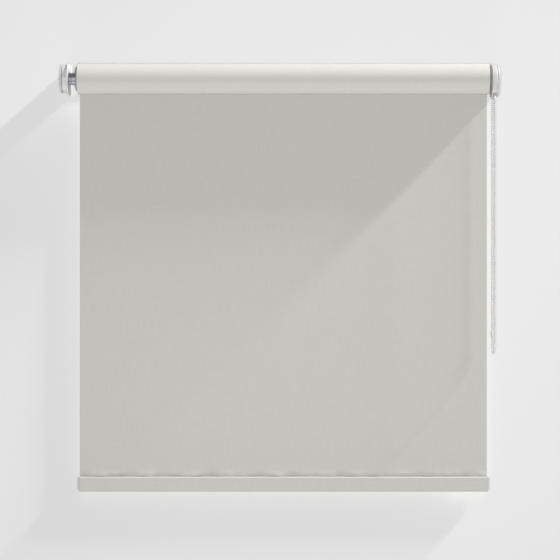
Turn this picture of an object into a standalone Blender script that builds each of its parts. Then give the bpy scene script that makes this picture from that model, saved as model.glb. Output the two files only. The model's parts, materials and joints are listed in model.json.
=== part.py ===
"""Roller blind with a side chain: brackets, clutch, tube, cloth and bottom rail.

Metres, +Z up. The wall is the plane Y = 0, the room is at -Y, and the origin lies on the wall
at the height of the roller's axis, midway along the cloth. The chain is at +X.
"""
from math import asin, cos, pi, sin, sqrt

import bmesh
import bpy
from mathutils import Matrix, Vector

GAP = 0.0003  # between two pieces that touch on the real blind

# Cloth
FABRIC_WIDTH = 0.700
FABRIC_THICKNESS = 0.0006
DROP = 0.680  # roller axis to the top of the bottom rail
WOUND_RADIUS = 0.025  # outside of the cloth that is still on the tube

# Roller tube and its key channel, which also grips the cloth's spline
AXIS_TO_WALL = 0.038
TUBE_RADIUS = 0.019
TUBE_WALL = 0.0012
TUBE_INSET = 0.0005  # the cloth overhangs each end of the tube by this much
CHANNEL_WIDTH = 0.0046
CHANNEL_DEPTH = 0.0031
SPLINE_HEIGHT = 0.0022
ROUND_STEPS = 40  # sides of a large round piece
SMALL_STEPS = 20  # sides of a small round piece
COIL_STEPS = 10  # straight lengths in one turn of a spring

# Brackets, bent from sheet steel
SHEET = 0.0015
BEND_RADIUS = 0.0028
WALL_LEG = 0.028
LEFT_PLATE_RADIUS = 0.0265
LEFT_PLATE_OFFSET = 0.0155  # cloth edge to the inner face of the left side plate
RIGHT_PLATE_RADIUS = 0.024
SCREW_SPACING = 0.030
SCREW_INSET = 0.0205  # side plate's outer face to the screws' line
SCREW_RADIUS = 0.0021
SCREW_LENGTH = 0.028
SCREW_HEAD_RADIUS = 0.0042
SCREW_HEAD_HEIGHT = 0.0024
CROSS_LENGTH = 0.0046
CROSS_WIDTH = 0.0009
CROSS_DEPTH = 0.0012

# Idle end: plug, spring-loaded pin and the cover outside the left bracket
PIN_RADIUS = 0.004
PIN_REACH = 0.004  # how far the pin passes the outside of the bracket
RUNNING_GAP = 0.0004
PLUG_FLANGE = 0.0032
PLUG_LIP = 0.0015  # the plug's flange is this much larger than the tube
PLUG_DEPTH = 0.0315
COLLAR_RADIUS = 0.0102
COLLAR_IN_PLUG = 0.0025
COLLAR_BORE_DEPTH = 0.0175
IDLE_SPRING_RADIUS = 0.0075
IDLE_SPRING_WIRE = 0.0006
IDLE_SPRING_TURNS = 4
COVER_RADIUS = 0.0235
COVER_DEPTH = 0.0082
COVER_WALL = 0.0018
COVER_GROOVE = 0.0008  # shadow line between the cover and its cap
CAP_DEPTH = 0.0027
CAP_LIP = 0.0005
SPIGOT_DEPTH = 0.0055
EDGE = 0.0007  # rounding of moulded edges

# Control end: chain wheel, clutch and housing
BEAD_PITCH = 0.0036
POCKETS = 28
BEAD_RADIUS = 0.0015
PITCH_RADIUS = BEAD_PITCH * POCKETS / (2 * pi)
WHEEL_WIDTH = 0.005
WHEEL_RIM = 0.0015  # the wheel's flanges stand this far outside the beads' centres
POCKET_RADIUS = 0.0022
BACKPLATE_START = 0.0010  # cloth edge to the back plate
BACKPLATE_DEPTH = 0.0027
HOUSING_DEPTH = 0.0086
HOUSING_WALL = 0.0015
CHAIN_ROOM = 0.0104  # beads' centres to the inside of the housing's rim
HOUSING_RADIUS = PITCH_RADIUS + CHAIN_ROOM + HOUSING_WALL
COVER_DROP = 0.0038  # the control cover's centre lies this far below the roller's axis
SPINDLE_RADIUS = 0.006
SPINDLE_NECK = 0.004
SLEEVE_RADIUS = 0.011
SLEEVE_IN_HUB = 0.0075
HUB_DEPTH = 0.031
HUB_END_WALL = 0.0034
HUB_FLANGE = 0.0009
SPRING_ROOM = 0.008  # bore round the clutch springs
CLUTCH_SPRING_RADIUS = 0.0069
CLUTCH_SPRING_WIRE = 0.0005
CLUTCH_SPRING_TURNS = 4
CLUTCH_SPRING_LENGTH = 0.0063
CLUTCH_SPRINGS = 2
TANG_REACH = 0.0092  # axis to the tip of a spring's turned-out end
TANG_SIDE = -0.0014  # the tangs' place across the slot
DOG_SIDE = 0.0016  # the dog's place across the slot
DOG_WIDTH = 0.0018
DOG_HEIGHT = 0.0012
SLOT_WIDTH = 0.006
SLOT_REACH = 0.0103
CONTROL_CAP_DEPTH = 0.0023
CONTROL_CAP_INSET = 0.001  # the cap is this much smaller than the housing
CLIP_WIDTH = 0.0008
CLIP_WALL = 0.0026
CLIP_GROOVE = 0.0014  # depth of a clip's groove in its shaft

# Chain
LOOP_LENGTH_BELOW = 0.4362  # housing's mouth to the bottom of the bend
STOP_BEAD_RADIUS = 0.0029
STOP_BEAD_LENGTH = 0.007
CONNECTOR_RADIUS = 0.0024
CONNECTOR_LENGTH = 0.009
CONNECTOR_ABOVE_BEND = 0.012  # top of the bend to the connector's lower end

# Bottom rail: a hollow bar inside a hem of the same cloth
BAR_HEIGHT = 0.025
BAR_THICKNESS = 0.0077
BAR_WALL = 0.0011
BAR_ROUND = 0.0034
END_CAP_DEPTH = 0.0015
END_PLUG_DEPTH = 0.009

# Places that follow from the sizes above
AXIS = Vector((0.0, -AXIS_TO_WALL, 0.0))
COVER_CENTRE = AXIS - Vector((0, 0, COVER_DROP))
EDGE_X = FABRIC_WIDTH / 2
TUBE_END = EDGE_X - TUBE_INSET
TUBE_BORE = TUBE_RADIUS - TUBE_WALL
SHEET_Y = AXIS.y + WOUND_RADIUS + GAP + FABRIC_THICKNESS / 2
LEFT_PLATE_X = -EDGE_X - LEFT_PLATE_OFFSET
BACKPLATE_X = EDGE_X + BACKPLATE_START
HOUSING_X = BACKPLATE_X + BACKPLATE_DEPTH + GAP
HOUSING_END = HOUSING_X + HOUSING_DEPTH
WHEEL_END = HOUSING_END - HOUSING_WALL - GAP
WHEEL_X = WHEEL_END - WHEEL_WIDTH / 2
RIGHT_PLATE_X = HOUSING_END + GAP
RIGHT_PLATE_END = RIGHT_PLATE_X + SHEET
HOUSING_LOW = -COVER_DROP - HOUSING_RADIUS
MOUTH_Z = HOUSING_LOW + HOUSING_WALL
BEND_Z = HOUSING_LOW - LOOP_LENGTH_BELOW + PITCH_RADIUS
FRONT_Y = AXIS.y - PITCH_RADIUS
BACK_Y = AXIS.y + PITCH_RADIUS
HUB_START = EDGE_X + BACKPLATE_START - GAP - HUB_DEPTH - HUB_FLANGE
RAIL_HEIGHT = BAR_HEIGHT + 2 * (GAP + FABRIC_THICKNESS)
RAIL_Z = -DROP - RAIL_HEIGHT / 2

ALONG_X = Matrix.Rotation(pi / 2, 4, "Y")  # local +Z becomes world +X
TOWARDS_ROOM = Matrix.Rotation(pi / 2, 4, "X")  # local +Z becomes world -Y
UPRIGHT = Matrix.Identity(4)


def clear_scene():
    for old in list(bpy.data.objects):
        bpy.data.objects.remove(old, do_unlink=True)


def new_collection(name):
    group = bpy.data.collections.new(name)
    bpy.context.scene.collection.children.link(group)
    return group


def finish(name, colour, roughness, metallic=0.0):
    """A plain material for one piece."""
    material = bpy.data.materials.new(name)
    material.use_nodes = True
    shader = material.node_tree.nodes["Principled BSDF"]
    shader.inputs["Base Color"].default_value = (*colour, 1.0)
    shader.inputs["Roughness"].default_value = roughness
    shader.inputs["Metallic"].default_value = metallic
    return material


def white_plastic(name):
    return finish(name, (0.80, 0.80, 0.79), 0.35)


def grey_plastic(name):
    return finish(name, (0.18, 0.18, 0.19), 0.45)


def cloth(name):
    return finish(name, (0.58, 0.57, 0.54), 0.9)


def white_steel(name):
    return finish(name, (0.82, 0.82, 0.82), 0.4)


def bare_metal(name):
    return finish(name, (0.55, 0.55, 0.57), 0.35, 1.0)


def place(name, data, group, material=None, where=AXIS, turn=ALONG_X):
    piece = bpy.data.objects.new(name, data)
    piece.matrix_world = Matrix.Translation(where) @ turn
    if material:
        data.materials.append(material)
    group.objects.link(piece)
    return piece


def hide_cutter(cutter):
    cutter.hide_render = True
    cutter.display_type = "WIRE"
    return cutter


def smooth(piece, angle=0.6):
    piece.data.shade_smooth()
    piece.data.set_sharp_from_angle(angle=angle)
    return piece


def combine(piece, tool, operation):
    boolean = piece.modifiers.new(tool.name, "BOOLEAN")
    boolean.operation = operation
    boolean.solver = "EXACT"
    boolean.object = tool
    hide_cutter(tool)
    return piece


def settle(piece):
    """Swap a piece's mesh for its evaluated one, so that copies can share it."""
    graph = bpy.context.evaluated_depsgraph_get()
    mesh = bpy.data.meshes.new_from_object(piece.evaluated_get(graph))
    mesh.name = piece.name
    piece.modifiers.clear()
    piece.data = mesh
    return piece


def turned(name, outline, group, material=None, where=AXIS, turn=ALONG_X, steps=ROUND_STEPS):
    """Turn (radius, place along the axis) points. The outer side runs from high to low."""
    closed = all(radius > 0 for radius, _ in outline)
    links = [(i, i + 1) for i in range(len(outline) - 1)]
    if closed:
        links.append((len(outline) - 1, 0))
    mesh = bpy.data.meshes.new(name)
    mesh.from_pydata([(radius, 0, along) for radius, along in outline], links, [])
    piece = place(name, mesh, group, material, where, turn)
    screw = piece.modifiers.new("turn", "SCREW")
    screw.axis = "Z"
    screw.angle = 2 * pi
    screw.steps = steps
    screw.render_steps = steps
    screw.use_merge_vertices = True
    screw.merge_threshold = 0.00001
    screw.use_smooth_shade = True
    return piece


def corner(radius, along, size, start, steps=2):
    """Points of a rounded corner whose centre is size inside (radius, along)."""
    centre_r = radius - size
    centre_a = along - size if start == "high" else along + size
    points = []
    for i in range(steps + 1):
        angle = pi / 2 * i / steps
        if start == "high":
            points.append((centre_r + size * sin(angle), centre_a + size * cos(angle)))
        else:
            points.append((centre_r + size * cos(angle), centre_a - size * sin(angle)))
    return points


def block(name, low, high, group, material=None, edge=0.0):
    """A box from its lowest to its highest corner, in world places."""
    low, high = Vector(low), Vector(high)
    mesh = bpy.data.meshes.new(name)
    shape = bmesh.new()
    bmesh.ops.create_cube(shape, size=1.0)
    bmesh.ops.scale(shape, vec=high - low, verts=shape.verts)
    shape.to_mesh(mesh)
    shape.free()
    piece = place(name, mesh, group, material, (low + high) / 2, UPRIGHT)
    if edge:
        bevel = piece.modifiers.new("edges", "BEVEL")
        bevel.width = edge
        bevel.segments = 2
    return piece


def curve_to_mesh(piece, group):
    """Replace a curve object with a welded mesh object of the same name and place."""
    graph = bpy.context.evaluated_depsgraph_get()
    mesh = bpy.data.meshes.new_from_object(piece.evaluated_get(graph))
    shape = bmesh.new()
    shape.from_mesh(mesh)
    bmesh.ops.remove_doubles(shape, verts=shape.verts, dist=0.000001)
    shape.to_mesh(mesh)
    shape.free()
    name, world = piece.name, piece.matrix_world.copy()
    bpy.data.objects.remove(piece, do_unlink=True)
    made = bpy.data.objects.new(name, mesh)
    made.matrix_world = world
    group.objects.link(made)
    return made


def plate(name, outlines, low, high, group, material=None, where=AXIS, turn=ALONG_X):
    """Extrude flat outlines along the turned axis, from low to high. A second one is a hole."""
    curve = bpy.data.curves.new(name, "CURVE")
    curve.dimensions = "2D"
    curve.fill_mode = "BOTH"
    curve.extrude = (high - low) / 2
    for outline in outlines:
        spline = curve.splines.new("POLY")
        spline.points.add(len(outline) - 1)
        for point, (a, b) in zip(spline.points, outline):
            point.co = (a, b, 0, 1)
        spline.use_cyclic_u = True
    middle = Vector(where) + turn.to_3x3() @ Vector((0, 0, (low + high) / 2))
    piece = place(name, curve, group, material, middle, turn)
    bpy.context.view_layer.update()
    return curve_to_mesh(piece, group)


def wire(name, points, radius, group, material):
    curve = bpy.data.curves.new(name, "CURVE")
    curve.dimensions = "3D"
    curve.bevel_depth = radius
    curve.bevel_resolution = 2
    curve.use_fill_caps = True
    spline = curve.splines.new("POLY")
    spline.points.add(len(points) - 1)
    for point, co in zip(spline.points, points):
        point.co = (*co, 1)
    piece = place(name, curve, group, material, (0, 0, 0), UPRIGHT)
    bpy.context.view_layer.update()
    made = curve_to_mesh(piece, group)
    made.data.shade_smooth()
    return made


def ring_outline(outer, inner, low, high):
    return [(outer, high), (outer, low), (inner, low), (inner, high)]


def rounded_rectangle(width, height, radius, steps=4):
    points = []
    corners = ((1, 1, 0), (-1, 1, 1), (-1, -1, 2), (1, -1, 3))
    for side, up, quarter in corners:
        for i in range(steps + 1):
            angle = pi / 2 * (quarter + i / steps)
            points.append((
                side * (width / 2 - radius) + radius * cos(angle),
                up * (height / 2 - radius) + radius * sin(angle),
            ))
    return points


def keyed_circle(radius, key_width, key_floor, steps=ROUND_STEPS):
    """A circle with a square-sided step in to key_floor at its top (local -X is world up)."""
    half = asin(key_width / 2 / radius)
    points = []
    for i in range(steps + 1):
        angle = pi + half + (2 * pi - 2 * half) * i / steps
        points.append((radius * cos(angle), radius * sin(angle)))
    points.append((-key_floor, key_width / 2))
    points.append((-key_floor, -key_width / 2))
    return points


def side_plate_outline(radius):
    """Round at the roller's axis and straight back to the wall, as (down, towards the wall)."""
    steps = 20
    front = []
    for i in range(steps + 1):
        angle = pi * i / steps
        front.append((radius * cos(angle), -radius * sin(angle)))
    return front + [(-radius, AXIS_TO_WALL), (radius, AXIS_TO_WALL)]


def bent_strip(outside_x, side, front_y):
    """The bracket seen from above: a side leg and a wall leg with a rounded bend (x, y)."""
    inside_x = outside_x - side * SHEET
    leg_x = outside_x - side * WALL_LEG
    steps = 4
    outer = []
    inner = []
    centre_x = outside_x - side * BEND_RADIUS
    for i in range(steps + 1):
        angle = pi / 2 * i / steps
        for radius, bend in ((BEND_RADIUS, outer), (BEND_RADIUS - SHEET, inner)):
            bend.append((centre_x + side * radius * cos(angle), -BEND_RADIUS + radius * sin(angle)))
    return [(outside_x, front_y), *outer, (leg_x, 0), (leg_x, -SHEET), *reversed(inner),
            (inside_x, front_y)]


def make_bracket(name, side, outside_x, radius, hole_radius, drop, parts, cutters):
    """A bent bracket whose middle lies below the axis by the drop, with its hole on the axis."""
    strip = bent_strip(outside_x, side, AXIS.y - radius - SHEET)
    bracket = plate(name, [strip], -radius, radius, parts, white_steel(name), (0, 0, -drop),
                    UPRIGHT)
    low, high = sorted((outside_x + side * SHEET, outside_x - side * (WALL_LEG + SHEET)))
    profile = plate(name + "_profile", [side_plate_outline(radius)], low, high, cutters,
                    where=AXIS - Vector((0, 0, drop)))
    combine(bracket, profile, "INTERSECT")
    bore = turned(name + "_bore", [(0, high), (hole_radius, high), (hole_radius, low), (0, low)],
                  cutters, steps=SMALL_STEPS)
    combine(bracket, bore, "DIFFERENCE")
    for up in (1, -1):
        where = (outside_x - side * SCREW_INSET, 0, up * SCREW_SPACING / 2 - drop)
        hole_size = SCREW_RADIUS + GAP
        reach_y = 3 * SHEET
        hole = turned(f"{name}_hole_{up}", [(0, reach_y), (hole_size, reach_y),
                                            (hole_size, -reach_y), (0, -reach_y)],
                      cutters, where=where, turn=TOWARDS_ROOM, steps=SMALL_STEPS)
        combine(bracket, hole, "DIFFERENCE")
    return smooth(bracket)


def make_screws(parts, cutters):
    """Four pan-head wood screws with a cross recess, sharing one mesh."""
    seat = SHEET + GAP
    top = seat + SCREW_HEAD_HEIGHT
    dome = []
    for i in range(4):
        angle = pi / 6 * i
        dome.append((SCREW_HEAD_RADIUS * sin(angle), seat + SCREW_HEAD_HEIGHT * cos(angle)))
    tip = seat - SCREW_LENGTH
    outline = [*dome, (SCREW_RADIUS, seat), (SCREW_RADIUS, tip + 3 * SCREW_RADIUS), (0, tip)]
    places = []
    for side, outside_x, drop in ((-1, LEFT_PLATE_X - SHEET, 0), (1, RIGHT_PLATE_END, COVER_DROP)):
        for up in (1, -1):
            where = (outside_x - side * SCREW_INSET, 0, up * SCREW_SPACING / 2 - drop)
            places.append((side, up, where))
    first = None
    for side, up, where in places:
        name = f"wall_screw_{'left' if side < 0 else 'right'}_{'upper' if up > 0 else 'lower'}"
        if first is None:
            first = turned(name, outline, parts, bare_metal("wall_screw"), where, TOWARDS_ROOM,
                           steps=SMALL_STEPS)
            for width, height in ((CROSS_LENGTH, CROSS_WIDTH), (CROSS_WIDTH, CROSS_LENGTH)):
                half = Vector((width / 2, 0, height / 2))
                low = Vector(where) - half - Vector((0, top + CROSS_DEPTH, 0))
                high = Vector(where) + half - Vector((0, top - CROSS_DEPTH, 0))
                combine(first, block(f"cross_{width}", low, high, cutters), "DIFFERENCE")
            bpy.context.view_layer.update()
            settle(first)
        else:
            place(name, first.data, parts, None, where, TOWARDS_ROOM)


def make_idle_end(parts, cutters):
    flange_end = -EDGE_X - GAP - PLUG_FLANGE
    plug_end = flange_end + PLUG_FLANGE + PLUG_DEPTH
    floor = flange_end + COLLAR_BORE_DEPTH
    body = TUBE_BORE - GAP
    pin_bore = PIN_RADIUS + RUNNING_GAP
    collar_bore = COLLAR_RADIUS + RUNNING_GAP
    lip = TUBE_RADIUS + PLUG_LIP
    plug = turned("idle_plug", [
        (body, plug_end), (body, -TUBE_END - GAP), (TUBE_RADIUS, -TUBE_END - GAP),
        (TUBE_RADIUS, -EDGE_X - GAP), *corner(lip, -EDGE_X - GAP, EDGE, "high"),
        *corner(lip, flange_end, EDGE, "low"), (collar_bore, flange_end), (collar_bore, floor),
        (pin_bore, floor), (pin_bore, plug_end),
    ], parts, grey_plastic("idle_plug"))
    cut_channel(plug, -TUBE_END - GAP, plug_end + SHEET, cutters)

    collar_start = LEFT_PLATE_X + GAP
    collar_end = flange_end + COLLAR_IN_PLUG
    hold = PIN_RADIUS + GAP
    turned("idle_collar", [
        (hold, collar_end), *corner(COLLAR_RADIUS, collar_end, EDGE, "high"),
        *corner(COLLAR_RADIUS, collar_start, EDGE, "low"), (hold, collar_start),
    ], parts, bare_metal("idle_collar"))

    tip = LEFT_PLATE_X - SHEET - PIN_REACH
    clip_low = plug_end + GAP
    clip_high = clip_low + CLIP_WIDTH
    neck = PIN_RADIUS - CLIP_GROOVE / 2
    tail = clip_high + 3 * CLIP_WIDTH
    turned("idle_pin", [
        (0, tail), (PIN_RADIUS, tail), (PIN_RADIUS, clip_high + GAP), (neck, clip_high + GAP),
        (neck, clip_low - GAP), (PIN_RADIUS, clip_low - GAP),
        *corner(PIN_RADIUS, tip, EDGE, "low"), (0, tip),
    ], parts, bare_metal("idle_pin"), steps=SMALL_STEPS)
    make_clip("idle_clip", clip_low, clip_high, neck + GAP, parts, cutters)

    end_gap = IDLE_SPRING_WIRE + GAP
    coil("idle_spring", collar_end + end_gap, floor - end_gap, IDLE_SPRING_TURNS,
         IDLE_SPRING_RADIUS, IDLE_SPRING_WIRE, parts)


def make_idle_cover(parts):
    """A drum on the outside of the left bracket, and the cap that closes it."""
    start = LEFT_PLATE_X - SHEET - GAP
    end = start - COVER_DEPTH
    bore = COVER_RADIUS - COVER_WALL
    pin_room = 2 * PIN_RADIUS
    turned("idle_cover", [
        (pin_room, start), *corner(COVER_RADIUS, start, EDGE, "high"),
        *corner(COVER_RADIUS, end, EDGE, "low"), (bore, end), (bore, start - COVER_WALL),
        (pin_room, start - COVER_WALL),
    ], parts, white_plastic("idle_cover"))
    face = end - COVER_GROOVE
    cap = COVER_RADIUS + CAP_LIP
    spigot = bore - GAP
    turned("idle_cover_cap", [
        (0, face - EDGE), (spigot - COVER_WALL, face - EDGE),
        (spigot - COVER_WALL, face + SPIGOT_DEPTH), (spigot, face + SPIGOT_DEPTH),
        (spigot, face), *corner(cap, face, EDGE, "high"),
        *corner(cap, face - CAP_DEPTH, 2 * EDGE, "low"), (0, face - CAP_DEPTH),
    ], parts, white_plastic("idle_cover_cap"))


def cut_channel(piece, low, high, cutters):
    """Clear the tube's key channel along a plug that sits in the tube."""
    half = CHANNEL_WIDTH / 2 + TUBE_WALL + GAP
    floor = TUBE_RADIUS - CHANNEL_DEPTH - TUBE_WALL - GAP
    slot = block(piece.name + "_key", (low, AXIS.y - half, floor),
                 (high, AXIS.y + half, TUBE_RADIUS + SHEET), cutters)
    combine(piece, slot, "DIFFERENCE")


def coil(name, low, high, turns, radius, thickness, parts, tang=False):
    """A spring round the roller's axis. Tangs turn both ends out towards the slot below."""
    steps = COIL_STEPS * turns
    start = asin(TANG_SIDE / radius) if tang else 0.0
    points = []
    for i in range(steps + 1):
        angle = start + 2 * pi * turns * i / steps
        points.append((low + (high - low) * i / steps,
                       AXIS.y + radius * sin(angle), -radius * cos(angle)))
    if tang:
        points.insert(0, (low, points[0][1], -TANG_REACH))
        points.append((high, points[-1][1], -TANG_REACH))
    wire(name, points, thickness, parts, bare_metal(name))


def make_clip(name, low, high, bore, parts, cutters):
    """A retaining clip: a washer that is open below."""
    clip = turned(name, ring_outline(bore + CLIP_WALL, bore, low, high), parts, bare_metal(name),
                  steps=SMALL_STEPS)
    half = bore * 0.7
    opening = block(name + "_opening", (low - SHEET, AXIS.y - half, -2 * (bore + CLIP_WALL)),
                    (high + SHEET, AXIS.y + half, 0), cutters)
    return combine(clip, opening, "DIFFERENCE")


def make_roller(parts):
    """The tube, the spline in its channel, and the cloth wound on it."""
    channel_floor = TUBE_RADIUS - CHANNEL_DEPTH
    outer = keyed_circle(TUBE_RADIUS, CHANNEL_WIDTH, channel_floor)
    inner = keyed_circle(TUBE_BORE, CHANNEL_WIDTH + 2 * TUBE_WALL, channel_floor - TUBE_WALL)
    metal = bare_metal("roller_tube")
    smooth(plate("roller_tube", [outer, inner], -TUBE_END, TUBE_END, parts, metal))
    half = CHANNEL_WIDTH / 2 - GAP
    low = channel_floor + GAP
    block("fabric_spline", (-TUBE_END, AXIS.y - half, low),
          (TUBE_END, AXIS.y + half, low + SPLINE_HEIGHT), parts, white_plastic("fabric_spline"),
          edge=EDGE / 2)
    turned("fabric_roll", ring_outline(WOUND_RADIUS, TUBE_RADIUS + GAP, -EDGE_X, EDGE_X), parts,
           cloth("fabric_roll"), steps=ROUND_STEPS + SMALL_STEPS // 2)


def make_clutch(parts, cutters):
    """The drive hub in the tube, the chain wheel, the fixed spindle and the wrap springs."""
    hub_flange = HUB_START + HUB_DEPTH
    hub_end = hub_flange + HUB_FLANGE
    sleeve_start = BACKPLATE_X - GAP - SLEEVE_IN_HUB
    spring_start = HUB_START + HUB_END_WALL
    shaft_bore = SPINDLE_RADIUS + GAP
    sleeve_bore = SLEEVE_RADIUS + GAP
    body = TUBE_BORE - GAP
    hub = turned("drive_hub", [
        (shaft_bore, spring_start), (SPRING_ROOM, spring_start),
        (SPRING_ROOM, sleeve_start - GAP), (sleeve_bore, sleeve_start - GAP),
        (sleeve_bore, hub_end), (TUBE_RADIUS, hub_end), (TUBE_RADIUS, TUBE_END + GAP),
        (body, TUBE_END + GAP), (body, HUB_START), (shaft_bore, HUB_START),
    ], parts, grey_plastic("drive_hub"))
    cut_channel(hub, HUB_START - SHEET, TUBE_END + GAP, cutters)
    slot = block("drive_hub_slot", (spring_start, AXIS.y - SLOT_WIDTH / 2, -SLOT_REACH),
                 (sleeve_start, AXIS.y + SLOT_WIDTH / 2, 0), cutters)
    combine(hub, slot, "DIFFERENCE")

    wheel = make_chain_wheel(sleeve_start, shaft_bore, parts, cutters)
    dog_low = spring_start + GAP
    dog = block("chain_wheel_dog",
                (dog_low, AXIS.y + DOG_SIDE - DOG_WIDTH / 2, -SLOT_REACH + GAP),
                (sleeve_start + SHEET, AXIS.y + DOG_SIDE + DOG_WIDTH / 2,
                 -SLOT_REACH + GAP + DOG_HEIGHT), cutters)
    combine(wheel, dog, "UNION")

    clip_high = HUB_START - GAP
    clip_low = clip_high - CLIP_WIDTH
    neck = SPINDLE_RADIUS - CLIP_GROOVE
    tail = clip_low - 3 * CLIP_WIDTH
    turned("control_spindle", [
        (0, RIGHT_PLATE_END), (SPINDLE_NECK, RIGHT_PLATE_END), (SPINDLE_NECK, WHEEL_END),
        (SPINDLE_RADIUS, WHEEL_END), (SPINDLE_RADIUS, clip_high + GAP), (neck, clip_high + GAP),
        (neck, clip_low - GAP), (SPINDLE_RADIUS, clip_low - GAP), (SPINDLE_RADIUS, tail),
        (0, tail),
    ], parts, grey_plastic("control_spindle"))
    make_clip("spindle_clip", clip_low, clip_high, neck + GAP, parts, cutters)

    room = sleeve_start - spring_start
    step = room / CLUTCH_SPRINGS
    for i in range(CLUTCH_SPRINGS):
        middle = spring_start + step * (i + 0.5)
        coil(f"clutch_spring_{i + 1}", middle - CLUTCH_SPRING_LENGTH / 2,
             middle + CLUTCH_SPRING_LENGTH / 2, CLUTCH_SPRING_TURNS, CLUTCH_SPRING_RADIUS,
             CLUTCH_SPRING_WIRE, parts, tang=True)


def make_chain_wheel(sleeve_start, bore, parts, cutters):
    """A grooved wheel with a pocket for each bead, and the sleeve that drives the hub."""
    rim = PITCH_RADIUS + WHEEL_RIM
    floor = PITCH_RADIUS - BEAD_RADIUS - GAP
    groove = BEAD_RADIUS + GAP
    low = WHEEL_X - WHEEL_WIDTH / 2
    wheel = turned("chain_wheel", [
        (rim, WHEEL_END), (rim, WHEEL_X + groove), (floor, WHEEL_X + groove),
        (floor, WHEEL_X - groove), (rim, WHEEL_X - groove), (rim, low), (SLEEVE_RADIUS, low),
        (SLEEVE_RADIUS, sleeve_start), (bore, sleeve_start), (bore, WHEEL_END),
    ], parts, grey_plastic("chain_wheel"), steps=POCKETS * 2)
    shape = bmesh.new()
    for i in range(POCKETS):
        spoke = Matrix.Rotation(2 * pi * (i + 0.5) / POCKETS, 4, "Z")
        out = Matrix.Translation((rim, 0, WHEEL_X)) @ Matrix.Rotation(pi / 2, 4, "Y")
        bmesh.ops.create_cone(shape, cap_ends=True, segments=8, radius1=POCKET_RADIUS,
                              radius2=POCKET_RADIUS, depth=2 * (rim - floor) - GAP,
                              matrix=spoke @ out)
    mesh = bpy.data.meshes.new("bead_pockets")
    shape.to_mesh(mesh)
    shape.free()
    combine(wheel, place("bead_pockets", mesh, cutters), "DIFFERENCE")
    return wheel


def axis_bore(name, radius, low, high, cutters):
    """A cutter for a round hole on the roller's axis that runs past both faces."""
    return turned(name, [(0, high + SHEET), (radius, high + SHEET), (radius, low - SHEET),
                         (0, low - SHEET)], cutters)


def make_control_covers(parts, cutters):
    """Back plate, housing and outer cap round the chain wheel, with their bores on the axis."""
    outer = HOUSING_RADIUS
    inner = HOUSING_RADIUS - HOUSING_WALL
    back = BACKPLATE_X + BACKPLATE_DEPTH
    bore = SLEEVE_RADIUS + RUNNING_GAP
    lip = inner - GAP
    spigot = back + GAP + HOUSING_WALL / 2
    backplate = turned("control_backplate", [
        (0, spigot), (lip, spigot), (lip, back), (outer - GAP, back),
        *corner(outer - GAP, BACKPLATE_X, EDGE, "low"), (0, BACKPLATE_X),
    ], parts, grey_plastic("control_backplate"), COVER_CENTRE)
    combine(backplate, axis_bore("backplate_bore", bore, BACKPLATE_X, spigot, cutters),
            "DIFFERENCE")

    wall = HOUSING_END - HOUSING_WALL
    neck_bore = SPINDLE_NECK + GAP
    housing = turned("control_housing", [
        (0, HOUSING_END), *corner(outer, HOUSING_END, 2 * EDGE, "high"),
        (outer, HOUSING_X), (inner, HOUSING_X), (inner, wall), (0, wall),
    ], parts, white_plastic("control_housing"), COVER_CENTRE)
    combine(housing, axis_bore("housing_bore", neck_bore, wall, HOUSING_END, cutters),
            "DIFFERENCE")
    room = BEAD_RADIUS + 2 * GAP
    mouth_width = PITCH_RADIUS + room
    mouth = block("housing_mouth", (WHEEL_X - room, AXIS.y - mouth_width, HOUSING_LOW - SHEET),
                  (WHEEL_X + room, AXIS.y + mouth_width, -PITCH_RADIUS), cutters)
    combine(housing, mouth, "DIFFERENCE")

    cap = outer - CONTROL_CAP_INSET
    rim = RIGHT_PLATE_RADIUS + GAP
    disc = RIGHT_PLATE_END + GAP
    end = disc + CONTROL_CAP_DEPTH
    edge_low = HOUSING_END + COVER_GROOVE
    cover = turned("control_cap", [
        (0, end), *corner(cap, end, 2 * EDGE, "high"), (cap, edge_low), (rim, edge_low),
        (rim, disc), (0, disc),
    ], parts, white_plastic("control_cap"), COVER_CENTRE)
    notch = block("cap_notch", (edge_low - SHEET, AXIS.y, COVER_CENTRE.z - rim),
                  (disc, AXIS.y + outer + SHEET, COVER_CENTRE.z + rim), cutters)
    combine(cover, notch, "DIFFERENCE")


def smooth_route(stops, spacing):
    """Points spaced along a smooth curve through the stops (Catmull-Rom)."""
    ends = [stops[0] * 2 - stops[1], *stops, stops[-1] * 2 - stops[-2]]
    dense = []
    for before, start, end, after in zip(ends, ends[1:], ends[2:], ends[3:]):
        for i in range(40):
            t = i / 40
            dense.append(0.5 * (2 * start + (end - before) * t
                                + (2 * before - 5 * start + 4 * end - after) * t * t
                                + (3 * start - before - 3 * end + after) * t * t * t))
    dense.append(stops[-1])
    route = [dense[0]]
    walked = 0.0
    for here, there in zip(dense, dense[1:]):
        walked += (there - here).length
        if walked >= spacing:
            route.append(there)
            walked = 0.0
    if (route[-1] - stops[-1]).length < spacing / 2:
        route.pop()
    route.append(stops[-1])
    return route


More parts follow.
